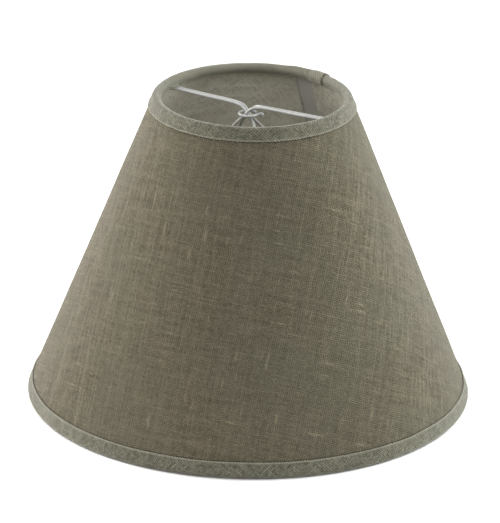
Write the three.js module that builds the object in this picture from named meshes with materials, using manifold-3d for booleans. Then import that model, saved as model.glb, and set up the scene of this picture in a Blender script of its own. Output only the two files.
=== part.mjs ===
// Clip-on lamp shade: a linen cone on two wire hoops, with a spring-wire bulb clip across its top.
// Millimetres, +Z up. The origin is the middle of the circle that the shade stands on, and the
// two arms of the bulb clip lie along X.
import * as THREE from "three";
import { mergeVertices } from "three/addons/utils/BufferGeometryUtils.js";
import Module from "manifold-3d";

const wasm = await Module();
wasm.setup();

// Overall sizes, measured over the fabric binding.
const bottomDiameter = 200;
const topDiameter = 90;
const height = 143;

// Layers of the wall, from the outside in.
const bindingThickness = 0.45;
const linenThickness = 0.45;
const filmThickness = 0.3;
const hoopWire = 2.4;
const layerGap = 0.1; // glue line between two layers

// The binding is a tape folded over each hoop. A leg runs from the middle of the hoop.
const topBindingLeg = 4.3;
const bottomBindingLeg = 4.65;
const innerLeg = 1.2;
const standingFlat = 1.6; // width of the flat that the bottom binding stands on

// Bulb clip: two spring wires, each bent from one length. A wire starts at the top hoop, runs
// to the middle as one strand of an arm, goes down through the collar, round its jaw on the
// far side and back the same way as the other strand.
const clipWire = 1.4;
const strandGap = 0.15; // between strands that lie side by side
const prongSpread = 3.4; // between the middles of a wire's two welded ends
const prongLength = 5; // length over which the two ends come together
const prongTaper = 0.62; // how far together they are halfway along it, as a share
const weldGap = 0.1; // between a welded end and the underside of the hoop
const notchClearance = 0.3; // round the welded ends, where they pass the binding's edge
const armDip = 0.9; // how far an arm falls from its weld to its bend
const bendRun = 3; // from the bend of an arm to the middle of the collar
const bendTop = { start: 2.2, lean: 0.7, up: 0.8 }; // in runs out, of the step sideways, of the drop
const bendMiddle = { out: 0.4, up: 0.42 }; // in runs out, of the drop
const bendUnder = { out: 0.85, down: 0.8 }; // just below the collar, both in runs
const collarDrop = 9.4; // from the top of the shade down to the collar
const clipOffset = -2.2; // the collar sits a little nearer to the left weld

// Jaws: at rest they just touch a ball of this size, hung below the collar.
const flare = { out: 5.4, side: 2.5, drop: 5.8 }; // a point on a strand just below the collar
const gripDiameter = 32.2;
const gripDrop = 12; // from the collar down to the top of that ball
const jawLipDrop = 23.3; // from the middle of the ball down to a jaw's lip
const jawLipReach = 12; // from the middle of the collar out to a jaw's lip
const jawCorner = 8; // height over which a jaw rounds into its lip
const cornerReach = 0.9; // how far out the jaw is at that corner, as a share of the lip's reach
const lipStart = { reach: 0.97, side: 0.6, up: 0.2 }; // just before the lip, as shares
const shoulder = { polar: 50, splay: 36 }; // where a strand comes to the ball, in degrees
const widest = { polar: 90, splay: 50 }; // where the two strands of a jaw are widest apart

// Collar: a wire ring round all four strands, one end turned outwards.
const collarWire = 1.2;
const collarClearance = 0.375; // round the row of four strands that the collar holds
const collarStart = 38; // degrees from X to the end that stays in the ring
const collarTail = 20; // degrees from X to the end that is turned outwards
const tailTurn = 30; // degrees of the ring over which that end leaves the circle
const tailBend = [
  { back: 14, out: 0.12 }, // degrees before the tail's end, and share of its reach
  { back: 4, out: 0.5 },
];
const tailReach = 2.7; // from the ring's own circle out to the tail's end

// Fineness of the faceted surfaces.
const segmentsAround = 60;
const wireSides = 6;
const foldSteps = 6;
const clipSteps = 124;
const collarSteps = 30;
const ringPoints = 12;

const radians = THREE.MathUtils.degToRad;
const lerp = THREE.MathUtils.lerp;

// Section of the wall. "Across" is measured outwards from the line that joins the middles
// of the two folds, and "along" upwards from the bottom one.
const wallThickness =
  2 * bindingThickness + linenThickness + filmThickness + hoopWire + 4 * layerGap;
const foldRadius = wallThickness / 2;
const foldInside = foldRadius - bindingThickness;
const standingAngle = Math.asin(standingFlat / 2 / foldRadius);
const bottomFold = new THREE.Vector2(
  bottomDiameter / 2 - foldRadius,
  foldRadius * Math.cos(standingAngle),
);
const topFold = new THREE.Vector2(topDiameter / 2 - foldRadius, height - foldRadius);
const wallLength = topFold.distanceTo(bottomFold);
const wallUp = topFold.clone().sub(bottomFold).normalize();
const wallOut = new THREE.Vector2(wallUp.y, -wallUp.x);
const wallAngle = Math.atan2(wallOut.y, wallOut.x);

const linenOuter = foldInside - layerGap;
const linenInner = linenOuter - linenThickness;
const filmOuter = linenInner - layerGap;
const filmInner = filmOuter - filmThickness;
const hoopAcross = filmInner - layerGap - hoopWire / 2;

function wallPoint(across, along) {
  return bottomFold.clone().addScaledVector(wallUp, along).addScaledVector(wallOut, across);
}

function arcPoints(middle, radius, from, to, steps) {
  const points = [];
  for (let i = 0; i <= steps; i++) {
    const angle = lerp(from, to, i / steps);
    const offset = new THREE.Vector2(Math.cos(angle), Math.sin(angle));
    points.push(middle.clone().addScaledVector(offset, radius));
  }
  return points;
}

function material(color, roughness, metalness) {
  return new THREE.MeshStandardMaterial({ color, roughness, metalness });
}

const linenMaterial = material(0x6f6857, 0.9, 0);
const bindingMaterial = material(0x7c7b6c, 0.85, 0);
const filmMaterial = material(0x77746a, 0.4, 0);
const hoopMaterial = material(0xd8d8d2, 0.4, 0.1);
const clipMaterial = material(0xdedfdc, 0.32, 0.1);

function mesh(name, geometry, surface) {
  const made = new THREE.Mesh(geometry, surface);
  made.name = name;
  return made;
}

// Turns a section round Z. The section is listed anticlockwise in (radius, height).
function turned(points) {
  return new THREE.LatheGeometry([...points, points[0].clone()], segmentsAround).rotateX(Math.PI / 2);
}

// A round wire along a smooth curve through the points.
function wire(points, diameter, steps) {
  const section = new THREE.Shape();
  section.setFromPoints(arcPoints(new THREE.Vector2(), diameter / 2, 0, 2 * Math.PI, wireSides));
  const extrudePath = new THREE.CatmullRomCurve3(points, false, "centripetal");
  return new THREE.ExtrudeGeometry(section, { steps, extrudePath });
}

function solidOf(geometry) {
  const bare = geometry.clone();
  bare.deleteAttribute("normal");
  bare.deleteAttribute("uv");
  const merged = mergeVertices(bare, 1e-3);
  return new wasm.Manifold(
    new wasm.Mesh({
      numProp: 3,
      vertProperties: merged.getAttribute("position").array,
      triVerts: new Uint32Array(merged.index.array),
    }),
  );
}

function geometryOf(solid) {
  const result = solid.getMesh();
  return new THREE.BufferGeometry()
    .setAttribute("position", new THREE.BufferAttribute(result.vertProperties, 3))
    .setIndex(new THREE.BufferAttribute(result.triVerts, 1));
}

// A cone-shaped layer of the wall, cut off square at the middle of each hoop.
function wallLayer(inner, outer) {
  return turned([
    wallPoint(inner, 0),
    wallPoint(outer, 0),
    wallPoint(outer, wallLength),
    wallPoint(inner, wallLength),
  ]);
}

const topHoop = wallPoint(hoopAcross, wallLength);
const bottomHoop = wallPoint(hoopAcross, 0);

function hoop(middle) {
  const ring = new THREE.TorusGeometry(middle.x, hoopWire / 2, wireSides, segmentsAround);
  return ring.translate(0, 0, middle.y);
}

const weldHeight = topHoop.y - (hoopWire + clipWire) / 2 - weldGap;
const weldRadius = topHoop.x;
const collarHeight = height - collarDrop;

// The notch in the edge of the top binding that a clip wire's two ends pass through.
function weldNotch() {
  const inside = topFold.x - 2 * foldRadius;
  const outside = topHoop.x;
  const low = wallPoint(-foldRadius, wallLength - innerLeg).y - innerLeg;
  const high = weldHeight + clipWire / 2 + notchClearance;
  const width = prongSpread + clipWire + 2 * notchClearance;
  const notch = new THREE.BoxGeometry(outside - inside, width, high - low);
  return notch.translate((inside + outside) / 2, 0, (low + high) / 2);
}

// Tape folded over the top hoop, notched where the clip wires reach the hoop.
function topBinding() {
  const tape = turned([
    wallPoint(foldInside, wallLength - topBindingLeg),
    wallPoint(foldRadius, wallLength - topBindingLeg),
    ...arcPoints(topFold, foldRadius, wallAngle, wallAngle + Math.PI, foldSteps),
    wallPoint(-foldRadius, wallLength - innerLeg),
    wallPoint(-foldInside, wallLength - innerLeg),
    ...arcPoints(topFold, foldInside, wallAngle + Math.PI, wallAngle, foldSteps),
  ]);
  const rightNotch = solidOf(weldNotch());
  const leftNotch = solidOf(weldNotch().rotateZ(Math.PI));
  return geometryOf(solidOf(tape).subtract(rightNotch).subtract(leftNotch));
}

// Tape folded under the bottom hoop, with the flat that it stands on.
function bottomBinding() {
  const down = -Math.PI / 2;
  const steps = foldSteps / 2;
  return turned([
    wallPoint(-foldInside, innerLeg),
    wallPoint(-foldRadius, innerLeg),
    ...arcPoints(bottomFold, foldRadius, wallAngle - Math.PI, down - standingAngle, steps),
    ...arcPoints(bottomFold, foldRadius, down + standingAngle, wallAngle, steps),
    wallPoint(foldRadius, bottomBindingLeg),
    wallPoint(foldInside, bottomBindingLeg),
    ...arcPoints(bottomFold, foldInside, wallAngle, down, steps),
    ...arcPoints(bottomFold, foldInside, down, wallAngle - Math.PI, steps).slice(1),
  ]);
}

// One strand from its weld to the bend above the collar. This and the next three functions
// work in a frame centred on the collar, with the arm towards -X and the jaw towards +X.
function armStrand(reach) {
  const rise = weldHeight - collarHeight;
  const neck = prongLength - reach;
  const bend = -bendTop.start * bendRun;
  const at = (x, spread) => {
    const fall = (armDip * (x + reach)) / (bend + reach);
    return new THREE.Vector3(x, spread / 2, rise - fall);
  };
  return [
    at(-reach, prongSpread),
    at(neck - prongLength / 2, lerp(prongSpread, strandPitch, prongTaper)),
    at(neck, strandPitch),
    at((neck + bend) / 2, strandPitch),
    at(bend, strandPitch),
  ];
}

// The same strand from its bend down through the collar, this far from the middle plane.
function crossingStrand(offset) {
  const bendRise = weldHeight - collarHeight - armDip;
  return [
    new THREE.Vector3(
      -bendRun,
      lerp(strandPitch / 2, offset, bendTop.lean),
      bendRise * bendTop.up,
    ),
    new THREE.Vector3(-bendRun * bendMiddle.out, offset, bendRise * bendMiddle.up),
    new THREE.Vector3(0, offset, 0),
    new THREE.Vector3(bendRun * bendUnder.out, offset + strandGap, -bendRun * bendUnder.down),
    new THREE.Vector3(flare.out, flare.side + offset / 2, -flare.drop),
  ];
}

// The same strand round one side of its jaw, as far as the lip.
function jawStrand() {
  const ball = (gripDiameter + clipWire) / 2;
  const ballHeight = -(gripDrop + gripDiameter / 2);
  const lipHeight = ballHeight - jawLipDrop;
  const side = ball * Math.sin(radians(widest.splay));
  const onBall = [0, 0.5, 1].map((t) => {
    const polar = radians(lerp(shoulder.polar, widest.polar, t));
    const splay = radians(lerp(shoulder.splay, widest.splay, t));
    const out = ball * Math.sin(polar);
    const rise = ball * Math.cos(polar);
    return new THREE.Vector3(out * Math.cos(splay), out * Math.sin(splay), ballHeight + rise);
  });
  return [
    ...onBall,
    new THREE.Vector3(jawLipReach * cornerReach, side, lipHeight + jawCorner),
    new THREE.Vector3(
      jawLipReach * lipStart.reach,
      side * lipStart.side,
      lipHeight + jawCorner * lipStart.up,
    ),
  ];
}

// A whole clip wire, from one weld round the jaw to the other weld.
function clipWirePoints(reach, offset) {
  const there = [...armStrand(reach), ...crossingStrand(offset), ...jawStrand()];
  const lip = new THREE.Vector3(jawLipReach, 0, -(gripDrop + gripDiameter / 2 + jawLipDrop));
  const back = there.map((point) => new THREE.Vector3(point.x, -point.y, point.z)).reverse();
  return [...there, lip, ...back];
}

// The row of strands in the collar: the left wire's two between the right wire's two.
const strandPitch = clipWire + strandGap;
const leftCrossing = strandPitch / 2;
const rightCrossing = 1.5 * strandPitch;
const collarBore = 2 * rightCrossing + clipWire + 2 * collarClearance;

// The collar's wire, from its inner end round to the tail.
function collarPoints() {
  const radius = (collarBore + collarWire) / 2;
  const around = (degrees, out) => {
    const angle = radians(degrees);
    return new THREE.Vector3((radius + out) * Math.cos(angle), (radius + out) * Math.sin(angle), 0);
  };
  const turn = 360 + collarTail;
  const from = radians(collarStart);
  const ring = arcPoints(new THREE.Vector2(), radius, from, radians(turn - tailTurn), ringPoints);
  return [
    ...ring.map((point) => new THREE.Vector3(point.x, point.y, 0)),
    ...tailBend.map((bend) => around(turn - bend.back, tailReach * bend.out)),
    around(turn, tailReach),
  ];
}

const shade = new THREE.Group();
shade.add(mesh("linen_cover", wallLayer(linenInner, linenOuter), linenMaterial));
shade.add(mesh("lining_film", wallLayer(filmInner, filmOuter), filmMaterial));
shade.add(mesh("top_hoop", hoop(topHoop), hoopMaterial));
shade.add(mesh("bottom_hoop", hoop(bottomHoop), hoopMaterial));
shade.add(mesh("top_binding", topBinding(), bindingMaterial));
shade.add(mesh("bottom_binding", bottomBinding(), bindingMaterial));

const leftPoints = clipWirePoints(weldRadius + clipOffset, leftCrossing);
const rightPoints = clipWirePoints(weldRadius - clipOffset, rightCrossing);
const rightWire = mesh("clip_wire_right", wire(rightPoints, clipWire, clipSteps), clipMaterial);
rightWire.rotation.z = Math.PI;

const clip = new THREE.Group();
clip.position.set(clipOffset, 0, collarHeight);
clip.add(mesh("clip_wire_left", wire(leftPoints, clipWire, clipSteps), clipMaterial));
clip.add(rightWire);
clip.add(mesh("clip_collar", wire(collarPoints(), collarWire, collarSteps), clipMaterial));
shade.add(clip);

export default shade;
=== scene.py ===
import math
import random

import bmesh
import bpy
from mathutils import Matrix, Vector, noise


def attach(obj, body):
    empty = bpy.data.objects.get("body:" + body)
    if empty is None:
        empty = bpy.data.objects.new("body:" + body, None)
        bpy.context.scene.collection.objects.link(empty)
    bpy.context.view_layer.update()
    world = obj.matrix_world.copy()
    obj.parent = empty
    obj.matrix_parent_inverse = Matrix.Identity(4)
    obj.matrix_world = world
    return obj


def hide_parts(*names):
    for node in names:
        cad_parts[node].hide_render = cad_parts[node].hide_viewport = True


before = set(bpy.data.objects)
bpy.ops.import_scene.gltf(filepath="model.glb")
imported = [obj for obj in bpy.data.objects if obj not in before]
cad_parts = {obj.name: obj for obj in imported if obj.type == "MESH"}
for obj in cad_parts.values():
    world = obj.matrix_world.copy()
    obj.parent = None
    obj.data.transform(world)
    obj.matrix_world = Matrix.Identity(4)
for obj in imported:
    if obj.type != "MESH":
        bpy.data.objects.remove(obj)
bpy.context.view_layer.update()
print("frame loaded:", len(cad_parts), "nodes")

mm = 0.001

camera = {
    "azimuth": 30.0,
    "elevation": 21.43,
    "distance": 2.2528,
    "aimHeight": 0.0632,
    "roll": 0.88,
    "lens": 344.2,
    "film": 36,
    "farthest": 20,
}


def makeCamera(c):
    azimuth, elevation = math.radians(c["azimuth"]), math.radians(c["elevation"])
    level = math.cos(elevation)
    back = Vector((math.sin(azimuth) * level, -math.cos(azimuth) * level, math.sin(elevation)))
    data = bpy.data.cameras.new("camera")
    data.lens = c["lens"]
    data.sensor_width = c["film"]
    data.clip_end = c["farthest"]
    eye = bpy.data.objects.new("camera", data)
    bpy.context.collection.objects.link(eye)
    roll = Matrix.Rotation(math.radians(c["roll"]), 3, "Z")
    turn = (-back).to_track_quat("-Z", "Y").to_matrix() @ roll
    place = Vector((0, 0, c["aimHeight"])) + back * c["distance"]
    eye.matrix_world = Matrix.Translation(place) @ turn.to_4x4()
    bpy.context.scene.camera = eye


studio = {
    "floor": (0.92, 0.92, 0.92),
    "floorRoughness": 0.9,
    "floorSize": 8.0,
    "floorDrop": 0.2 * mm,  # clear of the tape that stands on it
    "world": 0.33,
    "sideAngle": 107.0,  # from the camera's side round to each soft box
    "sideDistance": 0.75,
    "sideHeight": 0.34,
    "sideSize": 0.6,
    "sideAim": (0, 0, 0.06),
    "leftColor": (1.0, 0.975, 0.935),
    "rightColor": (0.965, 1.0, 0.965),
    "leftPower": 10.4,
    "rightPower": 10.4,
    "topStrength": 2.0,
    "topFrom": (0.28, -0.49, 1.0),
    "topSoftness": 70.0,
}


def softBox(name, place, aim, size, power, color):
    light = bpy.data.lights.new(name, "AREA")
    light.color = color
    light.size = size
    light.energy = power
    lamp = bpy.data.objects.new(name, light)
    bpy.context.collection.objects.link(lamp)
    lamp.location = place
    lamp.rotation_mode = "QUATERNION"
    lamp.rotation_quaternion = (Vector(aim) - Vector(place)).to_track_quat("-Z", "Y")


def makeStudio(s):
    bm = bmesh.new()
    bmesh.ops.create_grid(bm, x_segments=1, y_segments=1, size=s["floorSize"] / 2)
    mesh = bpy.data.meshes.new("floor")
    bm.to_mesh(mesh)
    bm.free()
    floor = bpy.data.objects.new("floor", mesh)
    bpy.context.collection.objects.link(floor)
    floor.location.z = -s["floorDrop"]
    paper = bpy.data.materials.new("palePaper")
    paper.use_nodes = True
    shader = paper.node_tree.nodes["Principled BSDF"]
    shader.inputs["Base Color"].default_value = (*s["floor"], 1)
    shader.inputs["Roughness"].default_value = s["floorRoughness"]
    mesh.materials.append(paper)

    left = ("softBoxLeft", -1, s["leftPower"], s["leftColor"])
    right = ("softBoxRight", 1, s["rightPower"], s["rightColor"])
    for name, side, power, color in (left, right):
        angle = math.radians(camera["azimuth"] + side * s["sideAngle"])
        out = s["sideDistance"]
        place = (math.sin(angle) * out, -math.cos(angle) * out, s["sideHeight"])
        softBox(name, place, s["sideAim"], s["sideSize"], power, color)
    high = bpy.data.lights.new("highLight", "SUN")
    high.energy = s["topStrength"]
    high.angle = math.radians(s["topSoftness"])
    lamp = bpy.data.objects.new("highLight", high)
    bpy.context.collection.objects.link(lamp)
    lamp.rotation_mode = "QUATERNION"
    lamp.rotation_quaternion = (-Vector(s["topFrom"])).to_track_quat("-Z", "Y")

    world = bpy.data.worlds.new("studio")
    bpy.context.scene.world = world
    world.use_nodes = True
    background = world.node_tree.nodes["Background"]
    background.inputs["Color"].default_value = (1, 1, 1, 1)
    background.inputs["Strength"].default_value = s["world"]
    bpy.context.scene.view_settings.view_transform = "Standard"


makeCamera(camera)
makeStudio(studio)
print("camera, floor and lights set")


# The wall's section in millimetres, across and along the line between the two folds
section = {
    "bottomFold": (97.775, 2.076),
    "topFold": (42.775, 140.775),
    "linen": 1.45,
    "film": 0.975,
    "hoop": -0.475,
    "tape": 2.0,
    "weldHeight": 138.6,
    "clipCentre": -2.2,
    "collarHeight": 133.6,
}

bottomFold = Vector(section["bottomFold"])
topFold = Vector(section["topFold"])
wallLength = (topFold - bottomFold).length
wallUp = (topFold - bottomFold).normalized()
wallOut = Vector((wallUp.y, -wallUp.x))
apex = bottomFold.x / -wallUp.x  # from the bottom fold up the wall to the cone's point

linenCover = {
    "thickness": 0.45,
    "columns": 280,
    "rows": 60,
    "ripple": 0.16,
    "rippleScale": 3.0,
    "seed": 4.0,
}
liningFilm = {
    "thickness": 0.25,
    "overlap": 8.0,
    "columns": 240,
    "rows": 40,
    "ripple": 0.10,
    "rippleScale": 3.0,
    "seed": 9.0,
}
topBinding = {
    "leg": 4.3,
    "innerLeg": 1.2,
    "thickness": 0.45,
    "ridge": 0.16,  # how much thicker the turned-in edge is
    "ridgeWidth": 0.9,
    "lapAzimuth": math.radians(70),
    "lap": 7.0,
    "columns": 300,
    "flap": 2.9,  # half the width of the flap that each pair of prongs pushes in
    "flapLength": 2.3,
    "seed": 2.0,
}
bottomBinding = {
    "leg": 4.65,
    "innerLeg": 1.2,
    "thickness": 0.45,
    "ridge": 0.16,
    "ridgeWidth": 0.9,
    "lapAzimuth": math.radians(97),
    "lap": 8.0,
    "columns": 420,
    "flap": 0.0,
    "flapLength": 0.0,
    "seed": 7.0,
}


fuzzTint = (1, 0.98, 0.94, 1)  # the light that catches the fibres at the edges
cloudSpan = (0.35, 0.65)  # where nearly all of a soft noise lies
polishSpan = (0.3, 0.7)


class NodeBoard:  # one material, with short ways to add nodes and join them
    def __init__(self, name):
        self.material = bpy.data.materials.new(name)
        self.material.use_nodes = True
        self.tree = self.material.node_tree
        self.shader = self.tree.nodes["Principled BSDF"]

    def put(self, value, socket):
        if isinstance(value, bpy.types.NodeSocket):
            self.tree.links.new(value, socket)
        else:
            socket.default_value = value

    def add(self, kind, inputs, **settings):
        made = self.tree.nodes.new("ShaderNode" + kind)
        for key, value in settings.items():
            setattr(made, key, value)
        for key, value in inputs.items():
            self.put(value, made.inputs[key])
        return made

    def math(self, operation, a, b=0.0, c=0.0):
        return self.add("Math", {0: a, 1: b, 2: c}, operation=operation).outputs[0]

    def remap(self, value, low, high, toLow=0.0, toHigh=1.0):
        inputs = {
            "Value": value,
            "From Min": low,
            "From Max": high,
            "To Min": toLow,
            "To Max": toHigh,
        }
        return self.add("MapRange", inputs).outputs["Result"]

    def mix(self, factor, a, b):
        return self.add("Mix", {0: factor, 6: a, 7: b}, data_type="RGBA").outputs[2]

    def noise(self, x, y, z, scale, detail):  # each pattern is cut at its own level z
        return self.noiseAt(self.add("CombineXYZ", {0: x, 1: y, 2: z}).outputs[0], scale, detail)

    def noiseAt(self, place, scale, detail):
        inputs = {"Vector": place, "Scale": scale, "Detail": detail}
        return self.add("TexNoise", inputs).outputs["Fac"]

    def flat(self):  # the piece's own map, in metres on the flat cloth
        split = self.add("SeparateXYZ", {0: self.add("UVMap", {}, uv_map="flat").outputs[0]})
        return split.outputs[0], split.outputs[1]

    def finish(self, color, roughness, height, look):
        self.put(color, self.shader.inputs["Base Color"])
        self.put(roughness, self.shader.inputs["Roughness"])
        self.shader.inputs["Sheen Weight"].default_value = look["sheen"]
        self.shader.inputs["Sheen Roughness"].default_value = look["fuzz"]
        self.shader.inputs["Sheen Tint"].default_value = fuzzTint
        self.shader.inputs["Specular IOR Level"].default_value = look["shine"]
        bump = self.add("Bump", {"Height": height, "Distance": look["depth"]})
        self.put(bump.outputs[0], self.shader.inputs["Normal"])
        return self.material


# What all the woven cloths share
yarn = {
    "strayScale": 0.2,  # how quickly a thread wanders, by its pitch
    "rowStep": 7.31,  # how far apart two neighbours lie in the noise
    "thickStep": 1.7,
    "thick": (0.52, 0.60),  # noise from which a thread starts to be thick, and is
    "slubRamp": 0.07,
    "roundness": 0.7,
    "tucked": 0.45,  # height that is left at the edge of the thread it crosses
    "under": 0.25,  # how much the thread below still shows at the sides
}


# Plain weave from thread to thread: the cloth's height, its tone and its slubs, each from 0 to 1.
def weave(board, u, v, look):
    pitch, wander = look["pitch"], look["wander"]

    def threads(at, z):  # which thread this is, and how near its middle
        slow = board.noise(u, v, z, yarn["strayScale"] / pitch, 2.0)
        stray = board.math("MULTIPLY_ADD", slow, wander, -wander / 2)
        place = board.math("ADD", board.math("DIVIDE", at, pitch), stray)
        crown = board.math("ABSOLUTE", board.math("SINE", board.math("MULTIPLY", place, math.pi)))
        return board.math("FLOOR", place), crown

    def toneAlong(thread, at, seed):  # slow changes along a thread, and short nubs
        row = board.math("MULTIPLY_ADD", thread, yarn["rowStep"], seed)
        slow = board.noise(row, board.math("DIVIDE", at, look["slubLength"]), 0.0, 1.0, 0.0)
        short = board.noise(row, board.math("DIVIDE", at, look["nubLength"]), 3.7, 1.0, 0.0)
        tone = board.math("MULTIPLY_ADD", slow, 0.5, board.math("MULTIPLY", short, 0.5))
        thickRow = board.math("MULTIPLY", row, yarn["thickStep"])
        thick = board.noise(thickRow, board.math("DIVIDE", at, look["thickLength"]), 9.2, 1.0, 0.0)
        thick = board.remap(thick, *yarn["thick"])
        tone = board.math("MULTIPLY_ADD", thick, look["thickTone"], tone)
        return tone, board.remap(slow, look["slubFrom"], look["slubFrom"] + yarn["slubRamp"]), thick

    def shape(over, under):
        width = board.math("MULTIPLY_ADD", under, 1 - yarn["tucked"], yarn["tucked"])
        return board.math("MULTIPLY", board.math("POWER", over, yarn["roundness"]), width)

    def choose(pick, a, b):
        return board.add("Mix", {0: pick, 2: a, 3: b}, data_type="FLOAT").outputs[0]

    warp, across = threads(u, 0.01)
    weft, along = threads(v, 0.09)
    warpUp = board.math("PINGPONG", board.math("ADD", warp, weft), 1.0)
    warpTone, warpSlub, warpThick = toneAlong(warp, v, 0.0)
    weftTone, weftSlub, weftThick = toneAlong(weft, u, 0.4)
    upper = board.remap(warpUp, 0.0, 1.0, yarn["under"], 1 - yarn["under"])
    height = choose(upper, shape(along, across), shape(across, along))
    thickWarp = board.math("MULTIPLY", warpThick, across)
    thickWeft = board.math("MULTIPLY", weftThick, along)
    thick = board.math("MAXIMUM", thickWarp, thickWeft)
    height = board.math("MULTIPLY_ADD", thick, look["thickRise"], height)
    tone = choose(upper, weftTone, warpTone)
    return height, tone, board.math("MAXIMUM", warpSlub, weftSlub)


linenLook = {
    "pitch": 0.90 * mm,
    "wander": 1.5,  # how far a thread strays from its row, in threads
    "slubLength": 12 * mm,
    "nubLength": 1.8 * mm,
    "thickLength": 28 * mm,  # over which a thread stays thick and light
    "thickTone": 0.11,
    "thickRise": 0.3,
    "slubFrom": 0.78,
    "dark": (0.058, 0.050, 0.032, 1),
    "light": (0.160, 0.140, 0.097, 1),
    "slub": (0.235, 0.204, 0.137, 1),
    "faded": (0.108, 0.103, 0.072, 1),
    "gap": (0.026, 0.019, 0.009, 1),
    "finest": 0.2,  # sideways over upwards on the flat cloth, where the yarn is finest
    "bundle": 3.0 * mm,  # neighbouring threads that are thicker and lighter together
    "bundleLength": 38 * mm,
    "bundleTone": 0.045,
    "bundleSpan": (0.7, 1.3),
    "toneRange": (0.24, 0.76),
    "fineBand": (0.15, 0.50),  # away from there, in the same measure, it coarsens between these
    "farBand": (1.3, 1.0),  # and is finer again further out
    "farShare": 0.4,
    "coarseness": (0.8, 0.6),  # contrast of the finest yarn, and what the coarsest adds
    "cloudScale": 26,
    "cloudShare": 0.45,
    "openScale": 420,
    "openSpan": (0.38, 0.62),
    "open": (0.4, 0.9),  # how far gaps show in closed and in open places
    "gapHeight": (0.55, 0.10),
    "slubShare": 0.4,
    "slubRise": 0.6,
    "bundleRise": 0.8,
    "paintedEdgeShadow": 0.75,  # painted shadow: how dark the cloth is right against a binding
    "edgeRun": 0.9,  # and over how many millimetres it darkens
    "roughness": 0.9,
    "shine": 0.15,
    "sheen": 0.36,
    "fuzz": 0.22,
    "depth": 0.24 * mm,
}


def linenMaterial(look):
    board = NodeBoard("naturalLinen")
    u, v = board.flat()
    height, tone, slub = weave(board, u, v, look)
    thin, long = look["bundle"], look["bundleLength"]
    down = board.noise(board.math("DIVIDE", u, thin), board.math("DIVIDE", v, long), 1.3, 1.0, 1)
    over = board.noise(board.math("DIVIDE", u, long), board.math("DIVIDE", v, thin), 5.9, 1.0, 1)
    both = board.math("ADD", down, over)
    bundles = board.remap(both, *look["bundleSpan"], -look["bundleTone"], look["bundleTone"])
    tone = board.math("ADD", tone, bundles)
    # The yarn is finest in one part of the cloth and a little coarser to both sides of it
    spread = board.math("ABSOLUTE", board.math("ADD", board.math("DIVIDE", u, v), look["finest"]))
    far = board.remap(spread, *look["farBand"], look["farShare"], 1.0)
    coarse = board.math("MULTIPLY", board.remap(spread, *look["fineBand"]), far)
    least, added = look["coarseness"]
    contrast = board.math("MULTIPLY_ADD", coarse, added, least)
    tone = board.math("MULTIPLY_ADD", board.math("SUBTRACT", tone, 0.5), contrast, 0.5)
    thread = board.mix(board.remap(tone, *look["toneRange"]), look["dark"], look["light"])
    cloud = board.noise(u, v, 0.3, look["cloudScale"], 3)
    fading = board.remap(cloud, *cloudSpan, 0.0, look["cloudShare"])
    patched = board.mix(fading, thread, look["faded"])
    openness = board.noise(u, v, 0.9, look["openScale"], 1)
    openness = board.remap(openness, *look["openSpan"], *look["open"])
    gaps = board.math("MULTIPLY", board.remap(height, *look["gapHeight"]), openness)
    color = board.mix(gaps, patched, look["gap"])
    color = board.mix(board.math("MULTIPLY", slub, look["slubShare"]), color, look["slub"])
    squares = board.math("ADD", board.math("MULTIPLY", u, u), board.math("MULTIPLY", v, v))
    up = board.math("MULTIPLY_ADD", board.math("SQRT", squares), -1.0, apex * mm)  # up the wall
    # Painted shadow: the cloth darkens towards the gap colour just beside each binding's edge
    topEdge, bottomEdge = wallLength - topBinding["leg"], bottomBinding["leg"]
    nearTop = board.remap(up, (topEdge - look["edgeRun"]) * mm, topEdge * mm)
    nearBottom = board.remap(up, (bottomEdge + look["edgeRun"]) * mm, bottomEdge * mm)
    shade = board.math("MULTIPLY", board.math("MAXIMUM", nearTop, nearBottom), look["paintedEdgeShadow"])
    color = board.mix(shade, color, look["gap"])
    lifted = board.math("MULTIPLY_ADD", slub, look["slubRise"], height)
    lifted = board.math("MULTIPLY_ADD", both, look["bundleRise"], lifted)
    return board.finish(color, look["roughness"], lifted, look)


bindingLook = {
    "pitch": 0.9 * mm,
    "wander": 1.0,
    "slubLength": 1.6 * mm,
    "nubLength": 0.8 * mm,
    "thickLength": 9 * mm,
    "thickTone": 0.08,
    "thickRise": 0.2,
    "slubFrom": 0.72,
    "dark": (0.085, 0.082, 0.058, 1),
    "light": (0.190, 0.184, 0.136, 1),
    "gap": (0.044, 0.042, 0.029, 1),
    "edge": (0.270, 0.264, 0.205, 1),  # painted highlight along the turned-in free edge
    "crestHighlight": (0.400, 0.390, 0.310, 1),  # painted highlight: lighter over the fold and inside it
    "toneRange": (0.36, 0.64),
    "edgeRun": (0.8 * mm, 0.3 * mm),  # in from the free edge
    "edgeHighlightShare": 0.85,
    "crestHighlightRun": (6.6 * mm, 8.4 * mm),
    "crestHighlightShare": 0.7,
    "gapHeight": (0.15, 0.72),
    "stretch": 0.5,  # the fold stretches the gaps open
    "slubRise": 0.3,
    "roughness": 0.85,
    "shine": 0.2,
    "sheen": 0.60,
    "fuzz": 0.28,
    "depth": 0.26 * mm,
}


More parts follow.
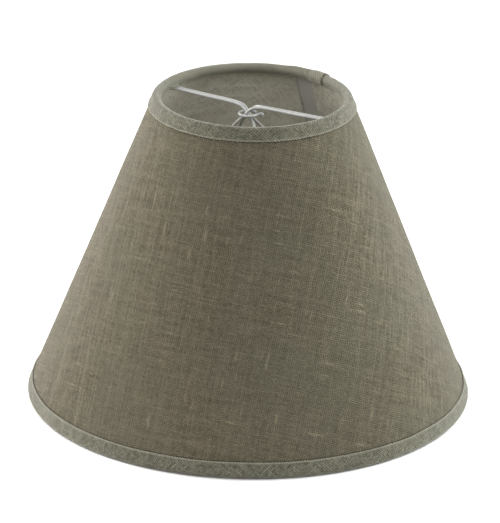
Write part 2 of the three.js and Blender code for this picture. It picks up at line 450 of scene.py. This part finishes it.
def bindingMaterial(look):
    board = NodeBoard("biasBinding")
    u, v = board.flat()
    along = board.math("MULTIPLY", board.math("ADD", u, v), math.sqrt(0.5))  # cut on the bias
    across = board.math("MULTIPLY", board.math("SUBTRACT", u, v), math.sqrt(0.5))
    height, tone, slub = weave(board, along, across, look)
    thread = board.mix(board.remap(tone, *look["toneRange"]), look["dark"], look["light"])
    # Painted highlight: the threads are lightened along the turned-in free edge
    edge = board.math("MULTIPLY", board.remap(v, *look["edgeRun"]), look["edgeHighlightShare"])
    thread = board.mix(edge, thread, look["edge"])
    # Painted highlight: lighter over the fold and down its inside
    crestHighlight = board.remap(v, *look["crestHighlightRun"], 0.0, look["crestHighlightShare"])
    thread = board.mix(crestHighlight, thread, look["crestHighlight"])
    low, high = look["gapHeight"]
    closed = board.math("MULTIPLY_ADD", crestHighlight, look["stretch"], high)
    color = board.mix(board.remap(height, low, closed), look["gap"], thread)
    lifted = board.math("MULTIPLY_ADD", slub, look["slubRise"], height)
    return board.finish(color, look["roughness"], lifted, look)


filmLook = {
    "base": (0.690, 0.665, 0.570, 1),
    "dark": (0.515, 0.490, 0.405, 1),
    "crease": (0.860, 0.850, 0.780, 1),
    "lap": (0.500, 0.490, 0.455, 1),  # where the film is doubled over the seam
    "toneRange": (0.40, 0.60),
    "cloudScale": 70,
    "cloudShare": 0.35,
    "creaseSlant": 0.8,  # creases run down and across
    "creaseStretch": 0.10,
    "creaseScale": 150,
    "creaseRange": (0.60, 0.72),
    "creaseShare": 0.55,
    "roughness": (0.24, 0.38),
    "sheen": 0.0,
    "fuzz": 0.5,
    "shine": 0.5,
    "depth": 0.5 * mm,
}


def filmMaterial(look):
    board = NodeBoard("glossyLining")
    u, v = board.flat()
    tone = weave(board, u, v, linenLook)[1]  # the linen shows through
    seen = board.mix(board.remap(tone, *look["toneRange"]), look["dark"], look["base"])
    cloud = board.noise(u, v, 0.7, look["cloudScale"], 3)
    seen = board.mix(board.remap(cloud, *cloudSpan, 0.0, look["cloudShare"]), seen, look["dark"])
    slant = board.math("MULTIPLY_ADD", v, look["creaseSlant"], u)
    stretched = board.math("MULTIPLY", v, look["creaseStretch"])
    crease = board.noise(slant, stretched, 0.5, look["creaseScale"], 2)
    creased = board.remap(crease, *look["creaseRange"], 0.0, look["creaseShare"])
    color = board.mix(creased, seen, look["crease"])
    half = math.pi * -wallUp.x  # how far the flat cut opens to each side of its middle
    bands = []
    for side in (-1, 1):
        level = board.math("MULTIPLY", u, math.cos(half))
        away = board.math("ABSOLUTE", board.math("MULTIPLY_ADD", v, side * math.sin(half), level))
        bands.append(board.math("LESS_THAN", away, liningFilm["overlap"] / 2 * mm))
    color = board.mix(board.math("MAXIMUM", *bands), color, look["lap"])
    roughness = board.remap(cloud, *polishSpan, *look["roughness"])
    return board.finish(color, roughness, crease, look)


paintLook = {
    "base": (0.455, 0.460, 0.455, 1),
    "worn": (0.350, 0.345, 0.325, 1),
    "lowerShade": (0.270, 0.264, 0.240, 1),
    "grooveShade": (0.110, 0.105, 0.090, 1),
    "wearScale": 420,
    "wearRange": (0.42, 0.72),
    "wearShare": 0.8,
    "lowerShadeRun": (133.0 * mm, 129.5 * mm),  # painted shade: darker from here down, where less light reaches inside the shade
    "lowerShadeShare": 0.6,
    "grooveShadeRun": (0.42 * mm, 0.12 * mm),  # painted shade: darker in towards the groove between the two strands of an arm
    "grooveShadeShare": 0.8,
    "peelScale": 2600,
    "roughness": (0.34, 0.49),
    "sheen": 0.0,
    "fuzz": 0.5,
    "shine": 0.5,
    "depth": 0.05 * mm,
}


def paintMaterial(look, name, strands):
    board = NodeBoard(name)
    place = board.add("TexCoord", {}).outputs["Object"]
    cloud = board.noiseAt(place, look["wearScale"], 3)
    wear = board.remap(cloud, *look["wearRange"], 0.0, look["wearShare"])
    color = board.mix(wear, look["base"], look["worn"])
    split = board.add("SeparateXYZ", {0: place})
    # Painted shade: the paint darkens lower down, where less light reaches inside the shade
    lowerShading = board.remap(split.outputs[2], *look["lowerShadeRun"], 0.0, look["lowerShadeShare"])
    color = board.mix(lowerShading, color, look["lowerShade"])
    if strands:
        # Painted shade in the groove between the two strands of an arm
        aside = board.math("ABSOLUTE", split.outputs[1])
        grooveShade = board.remap(aside, *look["grooveShadeRun"], 0.0, look["grooveShadeShare"])
        color = board.mix(grooveShade, color, look["grooveShade"])
    roughness = board.remap(cloud, *polishSpan, *look["roughness"])
    return board.finish(color, roughness, board.noiseAt(place, look["peelScale"], 2), look)


frayLook = {
    "dark": (0.150, 0.146, 0.110, 1),
    "light": (0.330, 0.322, 0.260, 1),
    "scale": 900,
    "roughness": 0.9,
    "sheen": bindingLook["sheen"],
    "fuzz": 0.5,
    "shine": 0.2,
    "depth": 0.04 * mm,
}


def frayMaterial(look):
    board = NodeBoard("looseThread")
    place = board.add("TexCoord", {}).outputs["Object"]
    tone = board.noiseAt(place, look["scale"], 2)
    color = board.mix(board.remap(tone, *cloudSpan), look["dark"], look["light"])
    return board.finish(color, look["roughness"], tone, look)


linenCloth = linenMaterial(linenLook)
bindingTape = bindingMaterial(bindingLook)
lining = filmMaterial(filmLook)
whitePaint = paintMaterial(paintLook, "powderCoat", False)
strandPaint = paintMaterial(paintLook, "strandCoat", True)
looseThread = frayMaterial(frayLook)
print("materials made")


def pieceOf(bm, name, material, body, nodes=()):
    mesh = bpy.data.meshes.new(name)
    bm.to_mesh(mesh)
    bm.free()
    for face in mesh.polygons:
        face.use_smooth = True
    piece = bpy.data.objects.new(name, mesh)
    bpy.context.collection.objects.link(piece)
    mesh.materials.append(material)
    return settle(piece, body, nodes)


def settle(piece, body, nodes=()):
    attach(piece, body)
    if nodes:
        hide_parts(*nodes)
    return piece


def wallAt(across, along):  # radius and height
    return bottomFold + wallUp * along + wallOut * across


def roundAt(azimuth, radius, height):
    return Vector((math.cos(azimuth) * radius, math.sin(azimuth) * radius, height)) * mm


def smooth(low, high, value):
    t = min(1.0, max(0.0, (value - low) / (high - low)))
    return t * t * (3 - 2 * t)


# A smooth unevenness that meets itself round the shade, "scale" lumps to a radian or to 60 mm up
def uneven(azimuth, height, scale, seed):
    up = height * scale / 60 + seed
    return noise.noise(Vector((math.cos(azimuth) * scale, math.sin(azimuth) * scale, up)))


def turnBetween(azimuth, middle):  # the shorter way round from one azimuth to another
    return (azimuth - middle + math.pi) % (2 * math.pi) - math.pi


seam = {
    "azimuth": math.radians(89),  # where the wall laps over itself, at the back
    "overlap": 9.0,
    "step": 0.55,  # how far the lap stands out
    "ramp": 3.0,  # the run over which it does so
    "settled": 0.5,  # how far past its edge the lap lies at its full step
    "rimRun": 6,  # the ripple dies away towards both hoops
}


def seamRise(azimuth, radius):  # everything on the wall steps out over the lap
    away = turnBetween(azimuth, seam["azimuth"]) * radius
    half, ramp = seam["overlap"] / 2, seam["ramp"]
    return seam["step"] * smooth(-half - ramp, -half, away) * (1 - smooth(half, half + ramp, away))


# A sheet cut flat and rolled into a cone, its end lapped over its start.
# "outside" is 1 where the end passes outside the start and -1 where it goes inside.
def rolledSheet(c, across, overlap, outside):
    bm = bmesh.new()
    bmesh.ops.create_grid(bm, x_segments=c["columns"], y_segments=c["rows"], size=0.5)
    flat = bm.loops.layers.uv.new("flat")
    rim = seam["rimRun"]
    places = {}
    for vert in bm.verts:
        t, along = vert.co.x + 0.5, (vert.co.y + 0.5) * wallLength
        radius, height = wallAt(across, along)
        start = seam["azimuth"] - overlap / 2 / radius
        azimuth = start + t * (2 * math.pi + overlap / radius)
        beyond = (azimuth - start - 2 * math.pi) * radius  # past its own start, on the lap
        lift = outside * seam["step"] * smooth(-seam["ramp"], seam["settled"], beyond)
        edge = smooth(0, rim, along) * (1 - smooth(wallLength - rim, wallLength, along))
        wave = c["ripple"] * uneven(azimuth, height, c["rippleScale"], c["seed"]) * edge
        spot = wallAt(across + lift + wave, along)
        places[vert] = (roundAt(azimuth, spot.x, spot.y), azimuth, apex - along)
    grain = seam["azimuth"] + math.pi  # the cloth's warp runs straight up the wall opposite the lap
    for face in bm.faces:
        for loop in face.loops:
            _, azimuth, slant = places[loop.vert]
            turn = (azimuth - grain) * -wallUp.x
            loop[flat].uv = (slant * math.sin(turn) * mm, -slant * math.cos(turn) * mm)
    for vert, (place, _, _) in places.items():
        vert.co = place
    bmesh.ops.recalc_face_normals(bm, faces=bm.faces[:])
    return bm


def thicken(piece, thickness):
    solid = piece.modifiers.new("thickness", "SOLIDIFY")
    solid.thickness = thickness
    solid.offset = 0.0
    solid.use_even_offset = True


def makeWall():
    bm = rolledSheet(linenCover, section["linen"], seam["overlap"], 1)
    linen = pieceOf(bm, "linenCover", linenCloth, "shade", ["linen_cover"])
    thicken(linen, linenCover["thickness"] * mm)
    bm = rolledSheet(liningFilm, section["film"], liningFilm["overlap"], -1)
    film = pieceOf(bm, "liningFilm", lining, "shade", ["lining_film"])
    thicken(film, liningFilm["thickness"] * mm)
    return linen


linenPiece = makeWall()
print("linen and lining made")


folding = {  # what both tapes share
    "legSteps": 10,
    "foldSteps": 14,
    "flapSteps": 5,
    "flapTurn": 100.0,  # how far the flap curls round
    "flapCurl": 3,  # steps in which it does
    "flapRamp": 0.7,
    "ridgeEdge": 0.6,  # the part of the ridge that has its full height
    "roundEnd": 0.4,  # how far each edge is rounded out, in thicknesses
    "lapGap": 0.12,
    "lapRamp": (-2.5, 0.6),
    "seamShare": 0.5,  # how much of the wall's lap the tape still shows
    "longWave": (0.07, 9.0, 0),  # size, scale, and what is added to the seed
    "shortWave": (0.05, 24.0, 5),
    "edgeWave": (0.22, 6.0, 3),
    "edgeRun": 3.0,
}


# The middle line of the folded tape at one place round the shade, as (across, along) from
# its free edge outside, over the fold, to its edge inside.
def foldedLine(b, flap):
    mid = section["tape"]
    legs, folds, flaps = folding["legSteps"], folding["foldSteps"], folding["flapSteps"]
    length = b["innerLeg"] + flap * (b["flapLength"] - b["innerLeg"])
    outer = [(mid, -b["leg"] + b["leg"] * i / legs) for i in range(legs)]
    turns = [math.pi * i / folds for i in range(folds + 1)]
    fold = [(mid * math.cos(a), mid * math.sin(a)) for a in turns]
    inner, turn = [fold[-1]], flap * math.radians(folding["flapTurn"])
    for i in range(1, flaps + 1):  # the flap curls inwards over the prongs
        heading = turn * min(1.0, i / folding["flapCurl"])
        x, y = inner[-1]
        x -= math.sin(heading) * length / flaps
        y -= math.cos(heading) * length / flaps
        inner.append((x, y))
    return [Vector(p) for p in outer + fold + inner[1:]]


# The closed section: out along one face of the tape and back along the other, with round edges
def tapeSection(b, flap):
    line = foldedLine(b, flap)
    run = [0.0]
    for a, c in zip(line, line[1:]):
        run.append(run[-1] + (c - a).length)
    face, back = [], []
    half, wide = b["thickness"] / 2, b["ridgeWidth"]
    for i, (point, at) in enumerate(zip(line, run)):
        way = (line[min(i + 1, len(line) - 1)] - line[max(i - 1, 0)]).normalized()
        side = Vector((way.y, -way.x))
        ridge = b["ridge"] * (1 - smooth(wide * folding["ridgeEdge"], wide, at))
        face.append((point + side * (half + ridge), at))
        back.append((point - side * half, at))
    ends = []
    for tip, before, at in ((line[-1], line[-2], run[-1]), (line[0], line[1], run[0])):
        ends.append((tip + (tip - before).normalized() * b["thickness"] * folding["roundEnd"], at))
    return face + ends[:1] + back[::-1] + ends[1:]


def makeBinding(name, b, fold, up, nodes):
    bm = bmesh.new()
    around = len(tapeSection(b, 0.0))
    bmesh.ops.create_grid(bm, x_segments=b["columns"], y_segments=around, size=0.5)
    flat = bm.loops.layers.uv.new("flat")
    places = {}
    tape, f = section["tape"], folding

    def ripple(wave, azimuth):
        size, scale, added = wave
        return size * uneven(azimuth, 0, scale, b["seed"] + added)

    for vert in bm.verts:
        t, index = vert.co.x + 0.5, round((vert.co.y + 0.5) * around)
        start = b["lapAzimuth"] + b["lap"] / fold.x
        azimuth = start - t * (2 * math.pi + b["lap"] / fold.x)
        beyond = (start - 2 * math.pi - azimuth) * fold.x  # how far past its own start the tape is
        lift = (b["thickness"] + f["lapGap"]) * smooth(*f["lapRamp"], beyond)
        side = min(abs(turnBetween(azimuth, 0)), abs(turnBetween(azimuth, math.pi))) * fold.x
        ends = b["flap"] - f["flapRamp"], b["flap"] + f["flapRamp"]
        flap = 1 - smooth(*ends, side) if b["flap"] else 0.0
        point, run = tapeSection(b, flap)[index % around]
        wave = ripple(f["longWave"], azimuth) + ripple(f["shortWave"], azimuth)
        edge = ripple(f["edgeWave"], azimuth) * (1 - smooth(0.0, f["edgeRun"], run))
        overSeam = f["seamShare"] * seamRise(azimuth, fold.x) / tape * (point.x > 0)
        swell = 1 + (lift + wave) / tape + overSeam
        across, along = point.x * swell, point.y * (swell if point.y > 0 else 1) + edge
        spot = fold + wallOut * across + up * along
        if up.y < 0:
            spot.y = max(spot.y, 0.0)
        places[vert] = (roundAt(azimuth, spot.x, spot.y), -azimuth * fold.x, run)
    for face in bm.faces:
        for loop in face.loops:
            _, length, run = places[loop.vert]
            loop[flat].uv = (length * mm, run * mm)
    for vert, (place, _, _) in places.items():
        vert.co = place
    bmesh.ops.remove_doubles(bm, verts=bm.verts[:], dist=0.001 * mm)
    bmesh.ops.holes_fill(bm, edges=[e for e in bm.edges if e.is_boundary], sides=0)
    bmesh.ops.recalc_face_normals(bm, faces=bm.faces[:])
    return pieceOf(bm, name, bindingTape, "shade", nodes)


topTape = makeBinding("topBinding", topBinding, topFold, wallUp, ["top_binding"])
bottomTape = makeBinding("bottomBinding", bottomBinding, bottomFold, -wallUp, ["bottom_binding"])
print("bindings made")


hoops = {"wire": 2.4, "sides": 20, "steps": 180}


def makeHoop(name, along, node):
    middle = wallAt(section["hoop"], along)
    bm = bmesh.new()
    upright = Matrix.Rotation(math.pi / 2, 4, "X")
    turn = Matrix.Translation((middle.x * mm, 0, middle.y * mm)) @ upright
    radius = hoops["wire"] / 2 * mm
    ring = bmesh.ops.create_circle(bm, segments=hoops["sides"], radius=radius, matrix=turn)["verts"]
    edges = list(dict.fromkeys(edge for vert in ring for edge in vert.link_edges))  # each once
    bmesh.ops.spin(
        bm, geom=ring + edges, cent=(0, 0, 0), axis=(0, 0, 1),
        angle=2 * math.pi, steps=hoops["steps"], use_merge=True,
    )
    bmesh.ops.recalc_face_normals(bm, faces=bm.faces[:])
    pieceOf(bm, name, whitePaint, "shade", [node])


makeHoop("topHoop", wallLength, "top_hoop")
makeHoop("bottomHoop", 0, "bottom_hoop")

clip = {
    "wire": 1.4,
    "gap": 0.15,
    "prongSpread": 3.4,
    "prongLength": 5.0,
    "taper": 0.62,  # how far the prongs have closed up halfway along
    "dip": 0.9,
    "bendRun": 3.0,
    "bendStart": 2.2,  # in bend runs before the collar
    "bendTop": (0.7, 0.8),  # how far a strand has moved sideways, and its share of the height
    "bendMiddle": (0.4, 0.42),  # these and the next are shares of the run and of the height
    "bendUnder": (0.85, 0.8),
    "flare": (5.4, 2.5, -5.8),  # where a strand leaves the bundle for the ball
    "ball": 32.2,
    "ballDrop": 12.0,
    "jawTurns": ((50, 36), (70, 43), (90, 50)),  # degrees down the ball, and round it
    "lipDrop": 23.3,
    "lipReach": 12.0,
    "corner": 8.0,
    "lipStart": 0.9,  # share of the reach where the corner begins
    "lipBend": (0.97, 0.6, 0.2),  # shares of the reach, of the width and of the corner's height
    "pointsPerSpan": 9,
}
collar = {
    "wire": 1.2,
    "radius": 4.0,
    "start": 38.0,
    "ringPoints": 12,
    "ringEnd": 30.0,  # degrees before the end of the tail, as in the bends
    "tail": 20.0,
    "bends": ((14.0, 0.12), (4.0, 0.5), (0.0, 1.0)),  # and shares of the reach
    "reach": 2.7,
    "pointsPerSpan": 6,
}
collarEnd = {
    "inset": 0.9,
    "size": (1.5, 1.1, 1.0),
    "lump": 0.10,
    "lumpScale": 1.6,
}


def curveThrough(points, perSpan):  # a smooth line with no overshoot between uneven points
    ends = [points[0] * 2 - points[1], *points, points[-1] * 2 - points[-2]]
    line = []
    for a, b, c, d in zip(ends, ends[1:], ends[2:], ends[3:]):
        before, here, after = ((q - p).length ** 0.5 for p, q in ((a, b), (b, c), (c, d)))
        leave = ((b - a) / before - (c - a) / (before + here) + (c - b) / here) * here
        arrive = ((c - b) / here - (d - b) / (here + after) + (d - c) / after) * here
        for i in range(perSpan):
            t = i / perSpan
            bend = (c - b) * 3 - leave * 2 - arrive
            line.append(b + leave * t + bend * t * t + ((b - c) * 2 + leave + arrive) * t ** 3)
    return line + [points[-1]]


def makeWire(name, lines, wire, material, body, nodes=(), sides=4):
    data = bpy.data.curves.new(name, "CURVE")
    data.dimensions = "3D"
    data.bevel_depth = wire / 2 * mm
    data.bevel_resolution = sides
    data.use_fill_caps = True
    for line in lines:
        spline = data.splines.new("POLY")
        spline.points.add(len(line) - 1)
        for point, place in zip(spline.points, line):
            point.co = (*(place * mm), 1)
        spline.use_smooth = True
    data.materials.append(material)
    piece = bpy.data.objects.new(name, data)
    bpy.context.collection.objects.link(piece)
    return settle(piece, body, nodes)


# One side of a clip wire, in a frame centred on the collar with its weld towards -X
def clipWireLine(c, reach, offset):
    pitch, run = c["wire"] + c["gap"], c["bendRun"]
    rise = section["weldHeight"] - section["collarHeight"]
    fall = rise - c["dip"]
    neck, bend = c["prongLength"] - reach, -c["bendStart"] * run

    def blend(a, b, t):
        return a + (b - a) * t

    def onArm(x, spread):
        return Vector((x, spread / 2, rise - c["dip"] * (x + reach) / (bend + reach)))

    arm = [
        onArm(-reach, c["prongSpread"]),
        onArm(neck - c["prongLength"] / 2, blend(c["prongSpread"], pitch, c["taper"])),
        onArm(neck, pitch),
        onArm((neck + bend) / 2, pitch),
        onArm(bend, pitch),
    ]
    aside, high = c["bendTop"]
    before, level = c["bendMiddle"]
    after, low = c["bendUnder"]
    away, wide, down = c["flare"]
    crossing = [
        Vector((-run, blend(pitch / 2, offset, aside), fall * high)),
        Vector((-run * before, offset, fall * level)),
        Vector((0, offset, 0)),
        Vector((run * after, offset + c["gap"], -run * low)),
        Vector((away, wide + offset / 2, down)),
    ]
    ball = (c["ball"] + c["wire"]) / 2
    middle = -(c["ballDrop"] + c["ball"] / 2)
    jaw = []
    for polar, turn in c["jawTurns"]:
        polar, turn = math.radians(polar), math.radians(turn)
        out, height = ball * math.sin(polar), middle + ball * math.cos(polar)
        jaw.append(Vector((out * math.cos(turn), out * math.sin(turn), height)))
    side, lip = jaw[-1].y, middle - c["lipDrop"]
    along, inward, up = c["lipBend"]
    jaw.append(Vector((c["lipReach"] * c["lipStart"], side, lip + c["corner"])))
    jaw.append(Vector((c["lipReach"] * along, side * inward, lip + c["corner"] * up)))
    there = arm + crossing + jaw
    back = [Vector((p.x, -p.y, p.z)) for p in reversed(there)]
    return curveThrough([*there, Vector((c["lipReach"], 0, lip)), *back], c["pointsPerSpan"])


def makeClip():
    centre = Vector((section["clipCentre"], 0, section["collarHeight"]))
    weld = wallAt(section["hoop"], wallLength).x
    pitch = clip["wire"] + clip["gap"]
    left = [p + centre for p in clipWireLine(clip, weld + section["clipCentre"], pitch / 2)]
    turned = clipWireLine(clip, weld - section["clipCentre"], pitch * 1.5)  # the outer strands
    right = [Vector((-p.x, -p.y, p.z)) + centre for p in turned]
    for name, node, line in (
        ("clipWireLeft", "clip_wire_left", left),
        ("clipWireRight", "clip_wire_right", right),
    ):
        makeWire(name, [line], clip["wire"], strandPaint, node, [node])

    def around(degrees, out):
        turn = Matrix.Rotation(math.radians(degrees), 3, "Z")
        return turn @ Vector((collar["radius"] + out, 0, 0))

    last, steps = 360 + collar["tail"], collar["ringPoints"]
    sweep = last - collar["ringEnd"] - collar["start"]
    ring = [around(collar["start"] + sweep * i / steps, 0) for i in range(steps + 1)]
    tail = [around(last - back, collar["reach"] * share) for back, share in collar["bends"]]
    line = [p + centre for p in curveThrough(ring + tail, collar["pointsPerSpan"])]
    node = "clip_collar"
    makeWire("clipCollar", [line], collar["wire"], whitePaint, node, [node])


# The outer end of the collar's wire is pinched over and thick with paint
def makeCollarEnd(c):
    centre = Vector((section["clipCentre"], 0, section["collarHeight"]))
    turn = Matrix.Rotation(math.radians(collar["tail"]), 3, "Z")
    place = centre + turn @ Vector((collar["radius"] + collar["reach"] - c["inset"], 0, 0))
    long, wide, high = c["size"]
    bm = bmesh.new()
    bmesh.ops.create_icosphere(bm, subdivisions=3, radius=1.0)
    for vert in bm.verts:
        x, y, z = vert.co
        lump = 1 + c["lump"] * noise.noise(vert.co * c["lumpScale"])
        vert.co = (turn @ Vector((x * long, y * wide, z * high)) * lump + place) * mm
    bmesh.ops.recalc_face_normals(bm, faces=bm.faces[:])
    pieceOf(bm, "collarEnd", whitePaint, "clip_collar")


makeClip()
makeCollarEnd(collarEnd)
print("hoops and clip made")


# Threads that stick out of each flap where the prongs go in
frays = {
    "count": 9,
    "thread": 0.16,
    "length": 1.7,
    "shortest": 0.5,
    "inward": 4.0,  # from the fold to where they leave the tape
    "below": 0.75,
    "inwardStray": (-0.3, 0.2),
    "belowStray": (-0.15, 0.1),
    "spread": 0.6,
    "droop": (-0.9, 0.5),
    "places": (-0.5, 0.0, 0.4, 0.75, 1.0),  # along a thread, from inside the tape
    "seed": 11,
}


def makeFrays(name, middle):
    c = frays
    pick = random.Random(c["seed"] + round(middle))
    lines = []
    for _ in range(c["count"]):
        azimuth = middle + pick.uniform(-1, 1) * topBinding["flap"] / topFold.x
        radius = topFold.x - c["inward"] + pick.uniform(*c["inwardStray"])
        height = topFold.y - c["below"] + pick.uniform(*c["belowStray"])
        length = c["length"] * pick.uniform(c["shortest"], 1.0)
        spread, drop = pick.uniform(-c["spread"], c["spread"]), pick.uniform(*c["droop"])
        line = []
        for t in c["places"]:
            bend = max(0, t) ** 2
            turn, out = azimuth + spread * bend / topFold.x, radius - length * t
            line.append(Vector((math.cos(turn) * out, math.sin(turn) * out, height + drop * bend)))
        lines.append(line)
    makeWire(name, lines, c["thread"], looseThread, "shade", sides=1)


makeFrays("fraysLeft", math.pi)
makeFrays("fraysRight", 0.0)
print("frays made")
